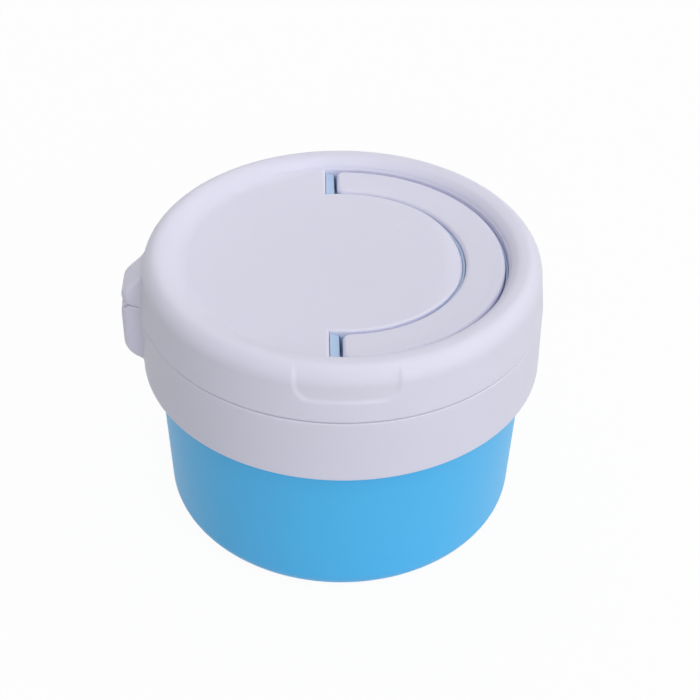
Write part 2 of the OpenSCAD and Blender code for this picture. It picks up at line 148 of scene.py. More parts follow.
def spread(points, count):
    """An open path again with evenly spaced points."""
    lengths = [0.0]
    for p, q in zip(points, points[1:]):
        lengths.append(lengths[-1] + math.dist(p, q))
    result = []
    k = 0
    for i in range(count + 1):
        target = lengths[-1] * i / count
        while k < len(lengths) - 2 and lengths[k + 1] < target:
            k += 1
        t = (target - lengths[k]) / max(lengths[k + 1] - lengths[k], 1e-9)
        p = points[k]
        q = points[k + 1]
        result.append((p[0] + (q[0] - p[0]) * t, p[1] + (q[1] - p[1]) * t))
    return result


def bend(a, b, c, steps):
    """A soft bend from a to c around the corner b."""
    points = []
    for i in range(steps + 1):
        t = i / steps
        k = ((1 - t) ** 2, 2 * t * (1 - t), t * t)
        points.append(tuple(a[n] * k[0] + b[n] * k[1] + c[n] * k[2] for n in (0, 1)))
    return points


def round_point(angle, r):
    """The point (x, y) at an angle in degrees and a radius."""
    a = math.radians(angle)
    return r * math.cos(a), r * math.sin(a)


def ease(t):
    """Smooth step from 0 to 1."""
    t = min(max(t, 0.0), 1.0)
    return t * t * (3 - 2 * t)


# ---- meshes ----

def add_piece(name, shell, material, sharp=SHARP):
    """One closed object from a shell in millimetres, with crisp edges kept crisp."""
    mesh = bpy.data.meshes.new(name)
    mesh.from_pydata([(x * MM, y * MM, z * MM) for x, y, z in shell.points], [], shell.faces)
    shape = bmesh.new()
    shape.from_mesh(mesh)
    bmesh.ops.remove_doubles(shape, verts=shape.verts, dist=2e-7)
    bmesh.ops.dissolve_degenerate(shape, edges=shape.edges, dist=1e-8)
    bmesh.ops.recalc_face_normals(shape, faces=shape.faces)
    shape.to_mesh(mesh)
    shape.free()
    finish_mesh(mesh, sharp)
    piece = bpy.data.objects.new(name, mesh)
    bpy.context.scene.collection.objects.link(piece)
    mesh.materials.append(material)
    return piece


def finish_mesh(mesh, sharp=SHARP):
    """Smooth shading with the edges above an angle in degrees kept sharp."""
    mesh.shade_smooth()
    mesh.set_sharp_from_angle(angle=math.radians(sharp))
    mesh.update()


def drop_object(used):
    """Removes a helper object and its mesh."""
    mesh = used.data
    bpy.data.objects.remove(used)
    bpy.data.meshes.remove(mesh)


def result_mesh(made):
    """The mesh of an object after its modifiers."""
    return bpy.data.meshes.new_from_object(made.evaluated_get(bpy.context.evaluated_depsgraph_get()))


class Shell:
    """Points and faces that are gathered before they become one piece."""

    def __init__(self):
        self.points = []
        self.faces = []

    def point(self, x, y, z):
        self.points.append((x, y, z))
        return len(self.points) - 1

    def strip(self, line_a, line_b):
        """Quads between two lines of points."""
        for i in range(len(line_a) - 1):
            self.faces.append((line_a[i], line_a[i + 1], line_b[i + 1], line_b[i]))

    def wrap(self, lines):
        """Quads between neighbouring lines all the way round."""
        for j in range(len(lines)):
            self.strip(lines[j], lines[(j + 1) % len(lines)])

    def turned(self, outline, steps=192):
        """A closed outline (r, z) turned about the vertical axis."""
        lines = []
        for j in range(steps):
            line = [self.point(*round_point(360 * j / steps, r), z) for r, z in outline]
            lines.append(line + line[:1])
        self.wrap(lines)

    def caps(self, low, high):
        """Closes both ends of a stack of rings."""
        self.faces.append(tuple(low))
        self.faces.append(tuple(reversed(high)))

    def pin(self, x, z, radius, y0, y1, edge=0.15, steps=40):
        """A round bar along y with softened ends."""
        stations = [(y0, radius - edge), (y0 + edge * 0.3, radius - edge * 0.3), (y0 + edge, radius),
                    (y1 - edge, radius), (y1 - edge * 0.3, radius - edge * 0.3), (y1, radius - edge)]
        rings = []
        for y, r in stations:
            ring = []
            for k in range(steps):
                a = 2 * math.pi * k / steps
                ring.append(self.point(x + r * math.cos(a), y, z + r * math.sin(a)))
            rings.append(ring)
        for p, q in zip(rings, rings[1:]):
            self.strip(p + p[:1], q + q[:1])
        self.caps(rings[0], rings[-1])

    def slab(self, outline, z0, z1, edge, steps=4):
        """The edge of a flat plate, rounded above and below; gives its lowest and highest line."""
        count = len(outline)
        normals = []
        for i in range(count):
            a = Vector(outline[i - 1])
            b = Vector(outline[i])
            c = Vector(outline[(i + 1) % count])
            side = (b - a).normalized() + (c - b).normalized()
            normals.append(Vector((side.y, -side.x)).normalized())
        rings = []
        for k in range(steps + 1):
            a = math.pi / 2 * k / steps
            rings.append((edge - edge * math.sin(a), z0 + edge - edge * math.cos(a)))
        for k in range(steps + 1):
            a = math.pi / 2 * k / steps
            rings.append((edge - edge * math.cos(a), z1 - edge + edge * math.sin(a)))
        lines = []
        for inset, z in rings:
            line = []
            for p, n in zip(outline, normals):
                line.append(self.point(p[0] - n.x * inset, p[1] - n.y * inset, z))
            lines.append(line)
        for p, q in zip(lines, lines[1:]):
            self.strip(p + p[:1], q + q[:1])
        return lines[0], lines[-1]

    def plate(self, outline, z0, z1, edge, steps=4):
        """A closed flat plate with rounded upper and lower edges."""
        self.caps(*self.slab(outline, z0, z1, edge, steps))


# ---- materials ----

def tone(r, g, b):
    """A screen colour, 0 to 255, as linear light."""
    linear = []
    for c in (r, g, b):
        c = c / 255
        linear.append(c / 12.92 if c <= 0.04045 else ((c + 0.055) / 1.055) ** 2.4)
    return (*linear, 1.0)


def new_group(name, inputs, outputs):
    """An empty shader group with its sockets, and its input and output nodes."""
    tree = bpy.data.node_groups.new(name, "ShaderNodeTree")
    for label, kind, value in inputs:
        socket = tree.interface.new_socket(name=label, in_out="INPUT", socket_type=kind)
        socket.default_value = value
    for label, kind in outputs:
        tree.interface.new_socket(name=label, in_out="OUTPUT", socket_type=kind)
    return tree, tree.nodes.new("NodeGroupInput"), tree.nodes.new("NodeGroupOutput")


def plug(tree, node, inputs):
    """Gives each named input of a node its value, or links it to another node's output."""
    for label, value in inputs.items():
        if isinstance(value, bpy.types.NodeSocket):
            tree.links.new(value, node.inputs[label])
        else:
            node.inputs[label].default_value = value


def wired(tree, kind, inputs):
    """A new node with its inputs set or linked."""
    node = tree.nodes.new(kind)
    plug(tree, node, inputs)
    return node


def noise(tree, vector, scale, detail, rough):
    """The value of a noise texture."""
    return wired(tree, "ShaderNodeTexNoise", {
        "Vector": vector, "Scale": scale, "Detail": detail, "Roughness": rough}).outputs["Fac"]


def number(tree, operation, *values, clamp=False):
    """The result of a math node on numbers or sockets."""
    node = tree.nodes.new("ShaderNodeMath")
    node.operation = operation
    node.use_clamp = clamp
    plug(tree, node, dict(enumerate(values)))
    return node.outputs[0]


def mixed_colour(tree, share, a, b):
    """A colour between a and b."""
    node = tree.nodes.new("ShaderNodeMix")
    node.data_type = "RGBA"
    plug(tree, node, {"Factor": share, "A": a, "B": b})
    return node.outputs["Result"]


def moulded_grain():
    """Fine spark-eroded grain of a mould, with slow drift in gloss."""
    tree, given, result = new_group(
        "moulded_grain",
        [("Grain Size", "NodeSocketFloat", 1.0), ("Gloss", "NodeSocketFloat", 0.4),
         ("Gloss Drift", "NodeSocketFloat", 0.05)],
        [("Height", "NodeSocketFloat"), ("Roughness", "NodeSocketFloat")])
    place = tree.nodes.new("ShaderNodeTexCoord").outputs["Object"]
    size = number(tree, "DIVIDE", 2600, given.outputs["Grain Size"])
    fine = noise(tree, place, size, 2, 0.6)
    pits = wired(tree, "ShaderNodeTexVoronoi", {
        "Vector": place, "Scale": number(tree, "MULTIPLY", size, 0.55)})
    pit_depth = number(tree, "MULTIPLY", pits.outputs["Distance"], 0.45)
    slow = noise(tree, place, 42, 3, 0.55)
    drift = number(tree, "MULTIPLY", number(tree, "SUBTRACT", slow, 0.5), given.outputs["Gloss Drift"])
    speck = number(tree, "MULTIPLY", number(tree, "SUBTRACT", fine, 0.5), 0.06)
    gloss = number(tree, "ADD", given.outputs["Gloss"], drift)
    plug(tree, result, {"Height": number(tree, "ADD", fine, pit_depth),
                        "Roughness": number(tree, "ADD", gloss, speck, clamp=True)})
    return tree


def pigment_and_edge_highlight():
    """Colour of a moulded plastic: slow flow streaks, and a slightly lighter convex edge that is a painted
    highlight.
    """
    tree, given, result = new_group(
        "pigment_and_edge_highlight",
        [("Color", "NodeSocketColor", (0.8, 0.8, 0.8, 1)),
         ("Deep Color", "NodeSocketColor", (0.7, 0.7, 0.7, 1)),
         ("Streaks", "NodeSocketFloat", 0.3),
         ("Edge Highlight Color", "NodeSocketColor", (0.9, 0.9, 0.9, 1)),
         ("Edge", "NodeSocketFloat", 0.3)],
        [("Color", "NodeSocketColor"), ("Edge Mask", "NodeSocketFloat")])
    place = tree.nodes.new("ShaderNodeTexCoord").outputs["Object"]
    stretch = wired(tree, "ShaderNodeMapping", {"Vector": place, "Scale": (14, 14, 40)})
    flow = noise(tree, stretch.outputs["Vector"], 1.0, 4, 0.6)
    streak = number(tree, "SUBTRACT", flow, 0.35, clamp=True)
    amount = number(tree, "MULTIPLY", streak, given.outputs["Streaks"], clamp=True)
    body = mixed_colour(tree, amount, given.outputs["Color"], given.outputs["Deep Color"])
    # Convex edges (high pointiness) turn toward the lighter edge colour: a painted highlight along the
    # edges, broken up by noise.
    shape = tree.nodes.new("ShaderNodeNewGeometry")
    raised = number(tree, "SUBTRACT", shape.outputs["Pointiness"], 0.52)
    ridge = number(tree, "MULTIPLY", raised, 9, clamp=True)
    painted_edge_glint = number(tree, "MULTIPLY", ridge, noise(tree, place, 160, 3, 0.6))
    edge = number(tree, "MULTIPLY", painted_edge_glint, given.outputs["Edge"], clamp=True)
    plug(tree, result, {"Color": mixed_colour(tree, edge, body, given.outputs["Edge Highlight Color"]),
                        "Edge Mask": edge})
    return tree


GRAIN = moulded_grain()
PIGMENT_AND_EDGE_HIGHLIGHT = pigment_and_edge_highlight()


def plastic(name, color, deep, painted_edge_highlight_color, gloss, grain_size, grain_depth, streaks=0.3,
            scatter=0.0, scatter_radius=(1, 1, 1), scatter_scale=0.002, sheen=0.0, specular=0.5):
    """A moulded plastic or rubber; only grain, gloss, colour and a painted edge highlight vary over it."""
    material = bpy.data.materials.new(name)
    material.use_nodes = True
    tree = material.node_tree
    grain = tree.nodes.new("ShaderNodeGroup")
    grain.node_tree = GRAIN
    plug(tree, grain, {"Grain Size": grain_size, "Gloss": gloss})
    colour = tree.nodes.new("ShaderNodeGroup")
    colour.node_tree = PIGMENT_AND_EDGE_HIGHLIGHT
    plug(tree, colour, {"Color": tone(*color), "Deep Color": tone(*deep),
                        "Edge Highlight Color": tone(*painted_edge_highlight_color), "Streaks": streaks})
    bump = wired(tree, "ShaderNodeBump", {
        "Strength": 0.35, "Distance": grain_depth * MM, "Height": grain.outputs["Height"]})
    plug(tree, tree.nodes["Principled BSDF"], {
        "Base Color": colour.outputs["Color"], "Roughness": grain.outputs["Roughness"],
        "Normal": bump.outputs["Normal"], "Specular IOR Level": specular,
        "Subsurface Weight": scatter, "Subsurface Radius": scatter_radius,
        "Subsurface Scale": scatter_scale, "Sheen Weight": sheen})
    return material


# The third colour of each plastic is the painted highlight on its convex edges.
shell_white = plastic("shell_white", (230, 229, 248), (227, 226, 246), (238, 238, 251), 0.46, 1.0, 0.012,
                      scatter=0.7, scatter_radius=(1.0, 1.0, 1.0), scatter_scale=0.0011)
cup_blue = plastic("cup_blue", (78, 194, 255), (69, 188, 254), (104, 204, 255), 0.42, 1.4, 0.006,
                   streaks=0.5, scatter=0.06, scatter_radius=(0.25, 0.7, 1.0), scatter_scale=0.004,
                   specular=0.42)
liner_blue = plastic("liner_blue", (186, 212, 251), (180, 207, 250), (198, 220, 252), 0.42, 1.2, 0.008,
                     scatter=0.6, scatter_radius=(0.6, 0.8, 1.0), scatter_scale=0.002)
guard_soft = plastic("guard_soft", (168, 208, 240), (160, 201, 236), (182, 216, 244), 0.55, 0.8, 0.010,
                     scatter=0.3, scatter_radius=(0.5, 0.8, 1.0), scatter_scale=0.002, sheen=0.15)
seal_soft = plastic("seal_soft", (214, 220, 230), (206, 213, 224), (222, 227, 235), 0.6, 0.7, 0.010,
                    scatter=0.3, scatter_radius=(0.9, 0.95, 1.0), scatter_scale=0.0015, sheen=0.15)
pin_white = plastic("pin_white", (224, 227, 234), (216, 219, 227), (234, 236, 241), 0.34, 0.9, 0.006)


# ---- hinge block, shared by collar and lid ----

class Column:
    """One upright line of points: its angle, and how it follows the hinge block."""

    def __init__(self, angle, push=(0.0, 0.0), share=0.0):
        self.angle = angle
        self.push = push
        self.share = share


def block_columns(face):
    """Columns from the middle of the block's face round its corner and fillet to the wall."""
    corner = BLOCK_CORNER
    fy = HALF_W + BLOCK_FLARE
    fx = -math.sqrt((SEAM_R + BLOCK_FLARE) ** 2 - fy ** 2)
    outline = [(face, (HALF_W - corner) * i / 8) for i in range(8)]
    outline += arc(face + corner, HALF_W - corner, corner, corner, 180, 90, 8)
    outline += [(face + corner + (fx - face - corner) * i / 5, HALF_W) for i in range(1, 5)]
    aim = math.degrees(math.atan2(-fy, -fx))
    outline += arc(fx, fy, BLOCK_FLARE, BLOCK_FLARE, -90, aim, 12)
    across = [0.0]
    for p, q in zip(outline, outline[1:]):
        across.append(across[-1] + max(abs(q[1] - p[1]), 0.09))
    touch = outline[-1][1]
    columns = []
    for (x, y), reach in zip(outline, across):
        wy = reach * touch / across[-1]
        wx = -math.sqrt(SEAM_R ** 2 - wy ** 2)
        push = (x - wx, y - wy)
        share = min(1.0, (wx - x) / (-SEAM_R - face)) if x < wx else 0.0
        columns.append(Column(math.degrees(math.atan2(wy, wx)), push, share))
    return columns


def all_round(half_columns):
    """The columns of one half (angle 180 down to 0) and their mirror images, once round."""
    half = sorted(half_columns, key=lambda c: -c.angle)
    mirrored = [Column(-c.angle, (c.push[0], -c.push[1]), c.share) for c in reversed(half)
                if 0.001 < c.angle < 179.999]
    return half + mirrored


def wall_angles(first, dense, step=1.6, fine_step=0.35, extra=()):
    """Angles from the block's edge down to 0, closer together in the dense ranges."""
    angles = []
    a = first
    while a > 0:
        a -= fine_step if any(lo < a <= hi for lo, hi in dense) else step
        if a > 0:
            angles.append(a)
    angles = [a for a in angles if all(abs(a - e) > 0.1 for e in extra)]
    return sorted(set(angles) | set(extra) | {0.0}, reverse=True)


def notch_edge(face, side):
    """Edge of the hinge notch in the block's face, above (1) or below (-1) the pin, and the way in."""
    edge = (face, SEAM_Z + side * (face + PIN_X) * math.tan(NOTCH_SLOPE))
    inward = (math.cos(NOTCH_SLOPE), -side * math.sin(NOTCH_SLOPE))
    return edge, (face - 0.9 * inward[0], edge[1] + 0.9 * inward[1])


def column_point(column, wall, block, reach):
    """Where a row of the outer side meets a column: on the round wall, or pushed out to the block."""
    r, z = wall
    x, y = round_point(column.angle, r)
    if column.push == (0.0, 0.0):
        return x, y, z
    out = (block[0] - r) / reach
    return (x + column.push[0] * out, y + column.push[1] * out,
            z + column.share * (block[1] - z))


# ---- lid shell ----

SLOT_END = math.degrees(math.acos(NOTCH_X / CHANNEL_R))
EDGE = 0.3
DISC_EDGE = 0.6


def slot_angle(angle, r):
    """Turns the columns near the channel's ends so that they run parallel to the ends."""
    size = abs(angle)
    away = abs(size - SLOT_END)
    if away > 20:
        return angle
    near = min(max(r, 27.0), 42.4)
    end = math.degrees(math.acos(NOTCH_X / near))
    straight = end + (size - SLOT_END) * CHANNEL_R / near
    blend = 1 - ease((away - 6) / 14)
    return math.copysign(size + blend * (straight - size), angle)


def slot_point(column, r):
    """The point (x, y) of a column at a radius, in line with the channel's ends."""
    return round_point(slot_angle(column.angle, r), r)


def outside_slot(x, y):
    """Distance from the channel's plan, 0 inside it."""
    r = math.hypot(x, y)
    if x >= NOTCH_X:
        return max(r - CHANNEL_R, CHANNEL_IN_R - r, 0.0)
    y_in = math.sqrt(CHANNEL_IN_R ** 2 - NOTCH_X ** 2)
    y_out = math.sqrt(CHANNEL_R ** 2 - NOTCH_X ** 2)
    nearest = min(max(abs(y), y_in), y_out)
    return math.hypot(NOTCH_X - x, abs(y) - nearest)


def inside_slot(x, y, margin=0.0):
    """Distance inward from the channel's edge, 0 outside it; a margin makes the channel larger."""
    r = math.hypot(x, y)
    return max(min(CHANNEL_R + margin - r, r - CHANNEL_IN_R + margin, x - NOTCH_X + margin), 0.0)


def edge_drop(gap, edge):
    """How far a rounded edge has fallen at a distance from the edge line."""
    if gap >= edge:
        return 0.0
    return edge - math.sqrt(edge ** 2 - (edge - gap) ** 2)


def scoop_drop(x, y):
    """Finger scoop in the disc beside the middle of the handle."""
    r = math.hypot(x, y)
    a = abs(math.degrees(math.atan2(y, x)))
    first_r = 24.6
    half_angle = 50
    if r > CHANNEL_IN_R or r < first_r or a > half_angle:
        return 0.0
    along = 0.5 + 0.5 * math.cos(math.pi * a / half_angle)
    return 1.3 * along * ((r - first_r) / 5) ** 2


def thumb_depth(x, z):
    """Depth of the thumb recesses at front and back, by height and distance from their middle."""
    half = 12.3
    low = LID_Z + 5
    corner = 4.5
    deepest = 0.38
    slope_width = 1.1
    last_rise = 62
    side = abs(x) - (half - corner)
    under = low + corner - z
    if side > 0 and under > 0:
        gap = math.hypot(side, under) - corner
    elif under > side:
        gap = low - z
    else:
        gap = abs(x) - half
    if gap >= 0:
        return 0.0
    rise = math.degrees(math.asin(min(max((z - ROUND_Z) / (CREST_Z - ROUND_Z), 0.0), 1.0)))
    fade = max(1 - (rise / last_rise) ** 3, 0.0)
    return deepest * fade * ease(-gap / slope_width)


def lid_rows():
    """Rows of the lid's outer side as pairs: on the round wall and on the hinge block."""
    nose = -NOSE_FACE
    shoulder, past = notch_edge(nose, 1)
    knee = (nose, NOSE_TOP_Z - (nose - RIM_R) * math.tan(NOSE_SLOPE))
    soft = (knee[1] - shoulder[1]) / 2
    up = (-math.cos(NOSE_SLOPE), math.sin(NOSE_SLOPE))
    meet = (RIM_R, NOSE_TOP_Z)
    wall_low = [(47.9, LID_Z), (48.9, LID_Z)]
    wall_low += arc(SEAM_R - SEAM_EDGE, LID_Z + SEAM_EDGE, SEAM_EDGE, SEAM_EDGE, -90, 0, 4)
    block_low = [(47.9, LID_Z), (49.6, LID_Z), (52.4, LID_Z), (52.9, LID_Z), (53.3, LID_Z),
                 (53.4, LID_Z + 0.07), (53.5, LID_Z + 0.15)]
    rim = arc(CREST_R, ROUND_Z, RIM_R - CREST_R, CREST_Z - ROUND_Z, 0, 16, 6)
    wall = spread([(SEAM_R, LID_Z + SEAM_EDGE)] + rim, 34)
    path = [(53.5, LID_Z + 0.15)]
    path += bend(past, shoulder, (nose, shoulder[1] + soft), 10)
    path += bend((nose, knee[1] - soft), knee, (nose + 2.4 * up[0], knee[1] + 2.4 * up[1]), 10)
    path += bend((meet[0] - 2.2 * up[0], meet[1] - 2.2 * up[1]), meet, rim[-1], 8)
    block = spread(path, 34)
    rows = list(zip(wall_low, block_low)) + list(zip(wall, block))[1:]
    top = arc(CREST_R, ROUND_Z, RIM_R - CREST_R, CREST_Z - ROUND_Z, 16, 54, 30)
    top += bend((46.9, 72.99), (46.1, 73.62), (DOME_R, DOME_Z), 8)
    rows += [(p, p) for p in spread(top, 22)[1:]]
    return rows


def top_z(r):
    """Height of the lid's top, a very shallow dish."""
    return FLOOR_Z + DISH * (r / CHANNEL_R) ** 2


def recess_rows():
    """Rows from the dome of the rim in to the channel: steep beside it, gentle where it has ended."""
    low = top_z(CHANNEL_R)
    last_r = 40.83
    steep = bend((DOME_R, DOME_Z), (43.3, DOME_Z), (42.6, 73.12), 12)
    steep += bend((42.55, 73.08), (41.5, 72.3), (41.2, low + 0.6), 12)
    steep += bend((41.18, low + 0.4), (41.1, low), (last_r, low), 8)
    steep = spread(steep, 22)[1:]
    gentle = []
    for i in range(len(steep)):
        r = DOME_R - (DOME_R - last_r) * (i + 1) / len(steep)
        gentle.append((r, gentle_z(r)))
    return list(zip(steep, gentle))


def gentle_z(r):
    """Height of the recess where no channel cuts it."""
    foot_r = 38.2
    return top_z(r) + (DOME_Z - top_z(r)) * ease((r - foot_r) / (DOME_R - foot_r))


def gentle_share(angle):
    """0 beside the channel, 1 well past its ends."""
    return ease((abs(angle) - SLOT_END - 0.3) / 26)


def row_normals(rows):
    """Outward direction of each row of the round wall, in its r-z plane."""
    normals = []
    last = len(rows) - 1
    for i in range(len(rows)):
        a = rows[max(i - 1, 0)][0]
        b = rows[min(i + 1, last)][0]
        length = max(math.dist(a, b), 1e-9)
        normals.append(((b[1] - a[1]) / length, -(b[0] - a[0]) / length))
    return normals


SLOT_ROWS = [CHANNEL_R, 40.2, 39.5, 38.8, 38.1, 37.4, 36.5, 35.2, 32.4, CHANNEL_IN_R]
DISC_ROWS = [29.57, 29.5, 29.4, 29.25, 29.1, 28.9, 28.6, 28.2, 27.7, 27.2, 26.6, 26.0, 25.4, 24.8, 24.2,
             23.0, 20.0, 16.0, 12.0, 8.0, 4.0, 1.5, 0.0]


def lid_columns():
    """The lid's upright lines, closer together at the recesses and the channel's ends."""
    ends = [SLOT_END + math.degrees(d / CHANNEL_R) for d in (0, 0.03, 0.1, 0.2, 0.3)]
    angles = wall_angles(171.0, [(73.5, 77.5), (86.0, 90.0), (102.5, 106.5)], 0.8, 0.35, ends)
    return all_round(block_columns(NOSE_FACE) + [Column(a) for a in angles])


def lid_top(shell, columns, rows):
    """Points of the lid's outer side, column by column, and the place of the channel's rows."""
    normals = row_normals(rows)
    recess = recess_rows()
    lines = []
    for column in columns:
        line = []
        for (wall, block), normal in zip(rows, normals):
            turned = Column(slot_angle(column.angle, wall[0]), column.push, column.share)
            x, y, z = column_point(turned, wall, block, -NOSE_FACE - SEAM_R)
            if 45.5 < wall[0] < SEAM_R + 0.01 and z > LID_Z + 4:
                depth = thumb_depth(x, wall[1])
                r = math.hypot(x, y)
                x -= depth * normal[0] * x / r
                y -= depth * normal[0] * y / r
                z -= depth * normal[1]
            line.append(shell.point(x, y, z))
        share = gentle_share(column.angle)
        for steep, gentle in recess:
            r = steep[0] + share * (gentle[0] - steep[0])
            z = steep[1] + share * (gentle[1] - steep[1])
            x, y = slot_point(column, r)
            line.append(shell.point(x, y, z - edge_drop(outside_slot(x, y), EDGE)))
        for r in SLOT_ROWS + DISC_ROWS:
            x, y = slot_point(column, r)
            z = top_z(r) + share * (gentle_z(r) - top_z(r))
            z -= edge_drop(outside_slot(x, y), DISC_EDGE) + scoop_drop(x, y)
            line.append(shell.point(x, y, z))
        lines.append(line)
    return lines, len(rows) + len(recess)


def lid_under(shell, columns):
    """Points of the lid's inner side: snap bead, liner bead, hollow rim and the flat top."""
    path = [(47.9, LID_Z), (47.75, LID_Z + 0.2), (47.7, LID_Z + 0.45), (47.75, LID_Z + 0.7),
            (48.0, LID_Z + 1.0), (48.0, 63.3), (47.5, 63.95), (47.5, 64.05), (48.0, 64.1), (48.0, 67.4)]
    path += arc(CREST_R, ROUND_Z, 3.6, 3.6, 10, 85, 8)
    path += arc(CREST_R, ROUND_Z, 0.95, 3.6, 95, 180, 6)
    path += [(43.0, TOP_UNDER_Z + 0.1), (42.6, TOP_UNDER_Z)]
    start = len(path)
    path += [(r, TOP_UNDER_Z) for r in SLOT_ROWS + [25.0, 18.0, 10.0, 4.0, 0.0]]
    lines = []
    for column in columns:
        lines.append([shell.point(*slot_point(column, r), z) for r, z in path])
    return lines, start


def skin(shell, lines, first, open_pairs):
    """Faces between the columns, leaving out the channel's cells."""
    span = len(SLOT_ROWS) - 1
    count = len(lines)
    for j in range(count):
        a = lines[j]
        b = lines[(j + 1) % count]
        if j in open_pairs:
            shell.strip(a[:first + 1], b[:first + 1])
            shell.strip(a[first + span:], b[first + span:])
        else:
            shell.strip(a, b)


def make_lid_shell():
    """Lid cover with the channel cut through it, its two knuckles and the handle's bosses."""
    shell = Shell()
    columns = lid_columns()
    top, first = lid_top(shell, columns, lid_rows())
    under, low_first = lid_under(shell, columns)
    count = len(columns)
    in_slot = [abs(c.angle) <= SLOT_END + 1e-6 for c in columns]
    open_pairs = {j for j in range(count) if in_slot[j] and in_slot[(j + 1) % count]}
    skin(shell, top, first, open_pairs)
    skin(shell, under, low_first, open_pairs)
    last = len(SLOT_ROWS) - 1
    for j in open_pairs:
        k = (j + 1) % count
        for row in (0, last):
            shell.faces.append((top[j][first + row], top[k][first + row],
                                under[k][low_first + row], under[j][low_first + row]))
    for j in range(count):
        before = in_slot[j - 1]
        after = in_slot[(j + 1) % count]
        if in_slot[j] and not (before and after):
            shell.strip(top[j][first:first + last + 1], under[j][low_first:low_first + last + 1])
    piece = add_piece("lid_cover", shell, shell_white)
    hollow = Shell()
    hollow.pin(PIN_X, SEAM_Z, KNUCKLE_R + 0.2, -2.07, 2.07, 0.05)
    cut_out(piece, hollow)
    extra = Shell()
    for side in (-1, 1):
        y0 = 1.97 if side > 0 else -KNUCKLE_END
        extra.pin(PIN_X, SEAM_Z, KNUCKLE_R, y0, y0 + KNUCKLE_END - 1.97, 0.12)
        boss = [(PIVOT_X - 3.1, side * 41.6), (PIVOT_X + 3.1, side * 41.6),
                (PIVOT_X + 3.1, side * 44.0), (PIVOT_X - 3.1, side * 44.0)]
        if side < 0:
            boss.reverse()
        extra.plate(boss, PIVOT_Z - 3.1, PIVOT_Z + 1.2, 0.2, 2)
    join(piece, extra)
    return piece


def cut_out(piece, shell):
    """Takes a shape out of a piece and keeps the piece's soft shading."""
    cutter = add_piece("cutter", shell, piece.data.materials[0])
    step = piece.modifiers.new("cut", "BOOLEAN")
    step.operation = "DIFFERENCE"
    step.object = cutter
    step.solver = "EXACT"
    result = result_mesh(piece)
    piece.modifiers.remove(step)
    old = piece.data
    piece.data = result
    bpy.data.meshes.remove(old)
    drop_object(cutter)
    finish_mesh(piece.data)


def join(piece, shell):
    """Adds another closed shape to a piece."""
    other = add_piece("addition", shell, piece.data.materials[0])
    shape = bmesh.new()
    shape.from_mesh(piece.data)
    shape.from_mesh(other.data)
    shape.to_mesh(piece.data)
    shape.free()
    drop_object(other)
    finish_mesh(piece.data)


# ---- collar ----

def make_collar():
    """Collar with its deck and bore, the lower half of the hinge block and its knuckle."""
    face = -BLOCK_FACE
    foot = 0.8
    low = arc(COLLAR_LOW_R - foot, COLLAR_Z + foot, foot, foot, -90, 0, 7)
    rows = [((48.4, COLLAR_Z), (48.4, COLLAR_Z))] + [(p, p) for p in low]
    wall = spread([(COLLAR_LOW_R, COLLAR_Z + foot), (SEAM_R, COLLAR_TOP - SEAM_EDGE)], 44)
    shoulder, past = notch_edge(face, -1)
    path = [(COLLAR_LOW_R, COLLAR_Z + foot)]
    path += arc(face - 4.6, 48.5, 4.6, 5.2, -78, 0, 16)
    path += bend((face, shoulder[1] - 1.6), shoulder, past, 8)
    path += [(53.5, COLLAR_TOP - 0.15)]
    rows += list(zip(wall, spread(path, 44)))[1:]
    soft = arc(SEAM_R - SEAM_EDGE, COLLAR_TOP - SEAM_EDGE, SEAM_EDGE, SEAM_EDGE, 0, 90, 4)
    rows += list(zip(soft[1:], [(53.45, COLLAR_TOP - 0.08), (53.4, COLLAR_TOP - 0.03),
                                (53.35, COLLAR_TOP), (53.3, COLLAR_TOP)]))
    rows += [((49.2, COLLAR_TOP), (51.0, COLLAR_TOP)), ((48.6, COLLAR_TOP), (49.2, COLLAR_TOP))]
    inner = soften([
        (47.2, COLLAR_TOP, 0.25), (47.2, COLLAR_TOP + 1.2, 0.1), (47.5, COLLAR_TOP + 1.5, 0.1),
        (47.5, COLLAR_TOP + 1.8, 0.1), (47.2, COLLAR_TOP + 2.1, 0.1), (47.2, COLLAR_TOP + 2.5, 0.25),
        (46.0, COLLAR_TOP + 2.5, 0.4), (46.0, COLLAR_TOP, 0.3), (MOUTH_R, COLLAR_TOP, 0.3),
        (MOUTH_R, DECK_Z, 0.3), (BORE_R, DECK_Z, 0.4), (BORE_R, COLLAR_Z + 0.4, 0.1),
        (48.35, COLLAR_Z, 0.05)], 3)
    rows += [(p, p) for p in inner]
    angles = wall_angles(171.0, [], 1.5)
    columns = all_round(block_columns(BLOCK_FACE) + [Column(a) for a in angles])
    shell = Shell()
    lines = []
    for column in columns:
        line = [shell.point(*column_point(column, w, b, face - SEAM_R)) for w, b in rows]
        lines.append(line + line[:1])
    shell.wrap(lines)
    piece = add_piece("collar_shell", shell, shell_white)
    for side in (-1, 1):
        y0 = 1.87 if side > 0 else -KNUCKLE_END - 0.2
        hollow = Shell()
        hollow.pin(PIN_X, SEAM_Z, KNUCKLE_R + 0.2, y0, y0 + KNUCKLE_END - 1.67, 0.05)
        cut_out(piece, hollow)
    knuckle = Shell()
    knuckle.pin(PIN_X, SEAM_Z, KNUCKLE_R, -1.77, 1.77, 0.12)
    join(piece, knuckle)
    return piece


# ---- lugs of the turn lock, the same on cup and collar ----

